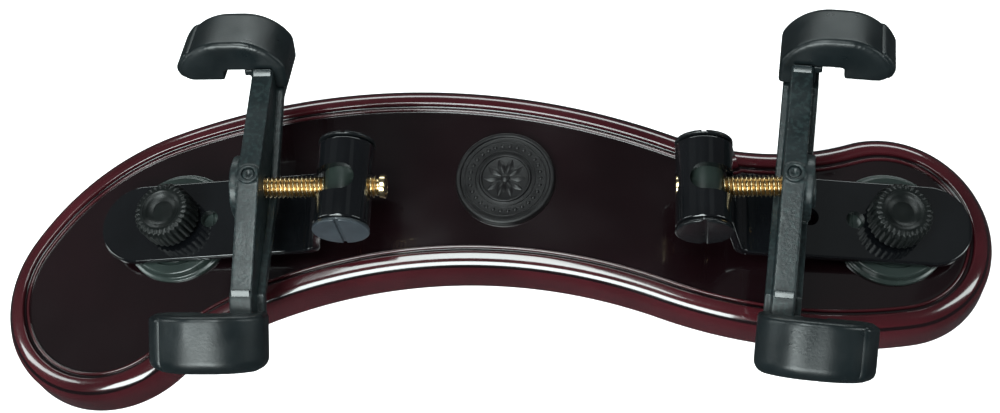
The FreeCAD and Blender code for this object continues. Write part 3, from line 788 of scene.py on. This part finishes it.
def make_knob(side):
    """Serrated thumb screw with a dished top."""
    low = KNOB_LOW
    top = TONGUE_TOP + KNOB_RISE
    dish = [(0, top - DISH_DEPTH)]
    dish += [(DISH_RADIUS * k / 14, top - DISH_DEPTH * (1 - (k / 14) ** 3.6)) for k in range(5, 14)]
    outside = [(0.5, low, 0), (6.9, low, 0.25), (KNOB_RADIUS, low + 0.5, 0.3), (7.25, top - 1.3, 0.9)]
    shoulder = [(6.6, top - 0.25, 0.6), (5.6, top, 0.3), (4.85, top, 0.15), (4.55, top - 0.25, 0)]
    profile = [(0, low)] + rounded(outside + shoulder, 5) + dish[::-1]
    knob = new_piece(side + "_knob_cap", lathe(profile, 360, knurled), bracket_frame(side), 50)
    return settle(knob, side + "_knob", [KNOB_BLACK], [side + "_thumb_knob"])


def make_knob_button(side):
    """Low domed button in the dish."""
    floor = TONGUE_TOP + KNOB_RISE - 1.45
    radius, edge, crown = 3.1, 0.1, 0.22
    angles = [0.13 * k for k in range(12)]
    dome = [(radius, floor)] + [(radius * math.cos(a), floor + edge + crown * math.sin(a)) for a in angles]
    dome.append((0, floor + edge + crown))
    button = new_piece(side + "_knob_dome", lathe(dome, 72), bracket_frame(side))
    return settle(button, side + "_knob", [KNOB_BLACK], [side + "_knob_button"])


def make_knob_stud(side):
    thread = threaded(STUD_RADIUS, STUD_PITCH, *STUD_ENDS)
    stud = new_piece(side + "_stud_thread", thread, bracket_frame(side), 60)
    return settle(stud, side + "_knob", [STEEL], [side + "_knob_stud"])


# ---- pivot and stem ------------------------------------------------------------------------

def threaded(radius, pitch, start, end):
    """A screw thread round Z between two heights, with flat ends."""
    depth = 0.58 * pitch
    around = 48
    each = 12
    rows, verts = [], []
    count = int((end - start) / pitch * each)
    for step in range(count + 1):
        height = start + (end - start) * step / count
        row = []
        for index in range(around):
            angle = 2 * math.pi * index / around
            phase = (height / pitch - index / around) % 1.0
            flank = abs(2 * phase - 1)
            flank = min(1.0, max(0.0, (flank - 0.1) / 0.76))
            lead = min(1.0, (height - start) / (0.6 * pitch), (end - height) / (0.6 * pitch))
            size = radius - depth + depth * flank * max(0.0, lead)
            row.append(len(verts))
            verts.append((size * math.cos(angle), size * math.sin(angle), height))
        rows.append(row)
    faces = [tuple(reversed(rows[0])), tuple(rows[-1])]
    for first, second in zip(rows, rows[1:]):
        faces += join_loops(first, second)
    return verts, faces


def shade_grooves(obj, place, radius, above):
    """Painted shade: the darker brass goes on the bottom of a thread's grooves."""
    local = place.inverted()
    for face in obj.data.polygons:
        middle = local @ (face.center / MM)
        if middle.z > above and math.hypot(middle.x, middle.y) < radius:
            face.material_index = 1


def make_barrel(side):
    """The plain pin that turns in the eye."""
    end, outer = BARREL_HALF, BARREL_RADIUS
    surface_line = rounded([(2.0, -end, 0), (outer, -end, 0.3), (outer, end, 0.3), (2, end, 0)], 3)
    profile = [(0, -end), (2.0, -end)] + surface_line + [(0, end)]
    barrel = new_piece(side + "_barrel_pin", lathe(profile, 96), stem_frame(side) @ ALONG_Y)
    return settle(barrel, side + "_pivot", [PIVOT_BLACK], [side + "_pivot_barrel"])


def make_stem(side):
    """Brass screw: thread, turned neck and head."""
    start = -STEM_TIP[side]
    shoulder = start + 1.8
    thread = threaded(STEM_RADIUS, STEM_PITCH, shoulder, FORK_FACE[side] + 3.6)
    neck = lathe([(0, start), (1.5, start), (NECK_RADIUS, start + 0.2), (NECK_RADIUS, shoulder + 0.2),
                  (0, shoulder + 0.2)], 48)
    head = rod(HEAD_RADIUS, FORK_FACE[side] + HEAD_START, FORK_FACE[side] + HEAD_END)
    place = stem_frame(side) @ ALONG_X
    stem = new_piece(side + "_stem_screw", merged([thread, neck, head]), place, 60)
    # Painted shade: the thread's groove bottoms get the darker brass.
    shade_grooves(stem, place, GROOVE_RADIUS, shoulder + 0.5)
    return settle(stem, side + "_fork", [BRASS, BRASS_PAINTED_SHADE], [side + "_stem"])


def make_collar(side):
    """Small turned stop at the stem's inner end."""
    start = -STEM_TIP[side]
    end = start + 1.5
    inner, outer = 1.76, 2.72
    profile = rounded([(inner, start, 0.1), (inner, end, 0.1), (outer, end, 0.3),
                       (outer, start, 0.3)], 4, True)
    collar = new_piece(side + "_stop_ring", ring_lathe(profile, 72), stem_frame(side) @ ALONG_X)
    return settle(collar, side + "_slider", [BRASS], [side + "_stop_collar"])


# ---- fork ----------------------------------------------------------------------------------

def make_fork(side):
    """The moulded V bar with its hub, flanges and boss."""
    fork = moulded(side + "_fork", side + "_fork_bar", 0.24, 5)
    return settle(fork, side + "_fork", [FORK_PLASTIC], [side + "_fork"])


def make_fork_pin(side):
    """Pin end in the boss, with a centre dimple."""
    top = BAR_TOP + 0.1
    dimple = [(0.8, top, 0.1), (0.3, top - 0.45, 0.1), (0, top - 0.5, 0)]
    profile = rounded([(1.44, 4.6, 0), (1.44, top, 0.25)] + dimple, 3)
    place = fork_frame(side) @ Matrix.Translation((BAR / 2, 0, 0))
    pin = new_piece(side + "_fork_pin_end", lathe(profile, 48), place)
    return settle(pin, side + "_fork", [FORK_PLASTIC], [side + "_fork_pin"])


def make_hub_cap(side):
    cap = turned_copy(side + "_hub_cap", side + "_hub_disc")
    return settle(cap, side + "_fork", [FORK_PLASTIC], [side + "_hub_cap"])


def pillow_ends(obj, side, end):
    """Round a claw's two ends towards the middle of its section."""
    place = claw_frame(side, end)
    local = place.inverted()
    start, finish = CLAW_SPAN[end]
    for vert in obj.data.vertices:
        point = local @ (vert.co / MM)
        for edge_y, reach in ((start, 1.3), (finish, 3.0)):
            off = abs(point.y - edge_y) / reach
            if off < 1:
                pull = (1 - math.sqrt(1 - (1 - off) ** 2)) * reach
                point.x += (10.0 - point.x) * pull / 13.0
                point.z -= point.z * pull / (7.5 if point.z > 0 else 12.0)
        vert.co = (place @ point) * MM


def make_claw(side, end):
    """Rubber hook with softened corners."""
    node = side + "_claw_cover_" + end
    claw = moulded(node, side + "_claw_" + end, 0.3, 22)
    pillow_ends(claw, side, end)
    return settle(claw, side + "_fork", [RUBBER], [node])


def make_grip(side, end):
    node = side + "_grip_strip_" + end
    grip = moulded(node, side + "_grip_" + end, 0.2, 4)
    return settle(grip, side + "_fork", [RUBBER], [node])


def make_tip(side, end):
    """Second skin moulded over the outer corner of a claw."""
    node = side + "_claw_cover_" + end
    tip = cad_copy(node, side + "_claw_tip_" + end)
    start, finish = CLAW_SPAN[end]
    place = claw_frame(side, end)
    low, high = (18.9, start + 1.0, -1.9), (26.0, finish - 1.0, 3.9)
    corners = [(x, y, z) for z in (low[2], high[2]) for y in (low[1], high[1]) for x in (low[0], high[0])]
    faces = [(0, 1, 3, 2), (4, 6, 7, 5), (0, 4, 5, 1), (2, 3, 7, 6), (0, 2, 6, 4), (1, 5, 7, 3)]
    block = new_piece("block", (corners, faces), place)
    keep = tip.modifiers.new("keep", "BOOLEAN")
    keep.operation = "INTERSECT"
    keep.solver = "EXACT"
    keep.object = block
    apply_modifiers(tip)
    bpy.data.objects.remove(block)
    skin = tip.modifiers.new("skin", "REMESH")
    skin.mode = "VOXEL"
    skin.voxel_size = 0.22 * MM
    swell = tip.modifiers.new("swell", "DISPLACE")
    swell.mid_level = 0
    swell.strength = 0.55 * MM
    ease = tip.modifiers.new("ease", "SMOOTH")
    ease.iterations = 10
    apply_modifiers(tip)
    pillow_ends(tip, side, end)
    tip.data.shade_smooth()
    return settle(tip, side + "_fork", [RUBBER])


def make_ledge(side, end):
    """Polished step across the bar, just before a claw."""
    toward = 1 if end == "rear" else -1
    frame_y = LEDGE_Y - 1.0
    level = BAR_TOP + (BAR_TOP_END - BAR_TOP) * frame_y / LEDGE_Y
    half = 0.75
    section = rounded([(-half, -0.3, 0.05), (half, -0.3, 0.05), (half, 1.2, 0.2),
                       (-half, 0.12, 0.1)], 4, True)
    verts, rows = [], []
    for x, inset in ((0.35, 0.75), (0.5, 1.0), (4.5, 1.0), (4.65, 0.75)):
        rows.append(list(range(len(verts), len(verts) + len(section))))
        verts += [(x, across * inset, up * inset) for across, up in section]
    faces = [tuple(reversed(rows[0])), tuple(rows[-1])]
    for first, second in zip(rows, rows[1:]):
        faces += join_loops(first, second)
    world_y = -1 if side == "left" else 1
    verts = [(x, toward * world_y * frame_y + world_y * across, level + up) for x, across, up in verts]
    ledge = new_piece(side + "_ledge_" + end, (verts, faces), fork_frame(side))
    return settle(ledge, side + "_fork", [LEDGE_PLASTIC])


def make_barrel_cap(side, end):
    node = side + "_barrel_cap_" + end
    cap = turned_copy(node, side + "_cap_" + end)
    finish = CAP_SLATE if (side, end) == ("left", "front") else CAP_BLACK
    return settle(cap, side + "_pivot", [finish], [node])


def make_insert(side):
    node = side + "_insert"
    sleeve = turned_copy(node, side + "_insert_sleeve")
    return settle(sleeve, "shell", [BRASS], [node])


make_shell()
make_pad()
make_medallion()
for side in SIDES:
    make_pedestal(side)
    make_insert(side)
    make_bracket(side)
    make_washer(side)
    make_knob(side)
    make_knob_button(side)
    make_knob_stud(side)
    make_barrel(side)
    make_stem(side)
    make_collar(side)
    make_fork(side)
    make_fork_pin(side)
    make_hub_cap(side)
    for end in ("front", "rear"):
        make_barrel_cap(side, end)
        make_claw(side, end)
        make_tip(side, end)
        make_ledge(side, end)
        make_grip(side, end)


# ---- floor, lights and camera --------------------------------------------------------------

def make_floor():
    """A plain pale studio floor."""
    half = 4.0
    corners = [(-half, -half, 0), (half, -half, 0), (half, half, 0), (-half, half, 0)]
    mesh = bpy.data.meshes.new("floor")
    mesh.from_pydata(corners, [], [(0, 1, 2, 3)])
    floor = bpy.data.objects.new("floor", mesh)
    bpy.context.collection.objects.link(floor)
    pale = surface("pale_floor", (0.93, 0.93, 0.93), 0.75, vary=0.01, smudge=0.03)
    shader = pale.node_tree.nodes["Principled BSDF"]
    shader.inputs["Emission Color"].default_value = (1, 1, 1, 1)
    shader.inputs["Emission Strength"].default_value = 0.8
    mesh.materials.append(pale)
    floor.visible_glossy = False


def softbox(name, at, aim, width, height, power):
    data = bpy.data.lights.new(name, "AREA")
    data.shape = "RECTANGLE"
    data.size = width
    data.size_y = height
    data.energy = power
    data.color = (0.90, 1.0, 0.99)
    box = bpy.data.objects.new(name, data)
    bpy.context.collection.objects.link(box)
    box.location = at
    box.rotation_euler = (Vector(aim) - Vector(at)).to_track_quat("-Z", "Y").to_euler()


def make_studio():
    make_floor()
    world = bpy.data.worlds.new("studio")
    bpy.context.scene.world = world
    world.use_nodes = True
    sky = world.node_tree.nodes["Background"]
    sky.inputs["Color"].default_value = (0.9, 0.95, 1.0, 1.0)
    sky.inputs["Strength"].default_value = 0.05
    middle = (0, 0, 0.02)
    softbox("key", (-0.28, -0.78, 0.75), middle, 0.75, 0.42, 13.5)
    softbox("left_back", (-0.75, 0.42, 0.75), middle, 0.5, 0.5, 0.035)
    softbox("right_back", (0.5, 0.42, 0.88), (0.08, 0, 0.02), 0.25, 0.25, 0.015)
    softbox("back_rim", (0.0, 0.9, 0.32), (0, 0, 0.04), 1.4, 0.2, 4.5)
    softbox("overhead", (-0.12, -0.02, 1.0), middle, 0.5, 0.3, 5)
    softbox("left_fill", (-0.9, 0.0, 0.45), middle, 0.15, 0.6, 2)
    softbox("right_fill", (0.9, 0.0, 0.45), middle, 0.15, 0.6, 2)


def make_camera():
    """The camera stands high in front of the rest and looks down on it."""
    data = bpy.data.cameras.new("camera")
    data.lens = 63.97
    data.sensor_width = 36.0
    data.clip_start = 0.01
    camera = bpy.data.objects.new("camera", data)
    bpy.context.collection.objects.link(camera)
    turn = Euler([math.radians(angle) for angle in (23.656, 5.459, 1.954)])
    camera.matrix_world = Matrix.Translation((0.04609, -0.16566, 0.41669)) @ turn.to_matrix().to_4x4()
    bpy.context.scene.camera = camera


make_studio()
make_camera()
bpy.context.scene.view_settings.view_transform = "Standard"
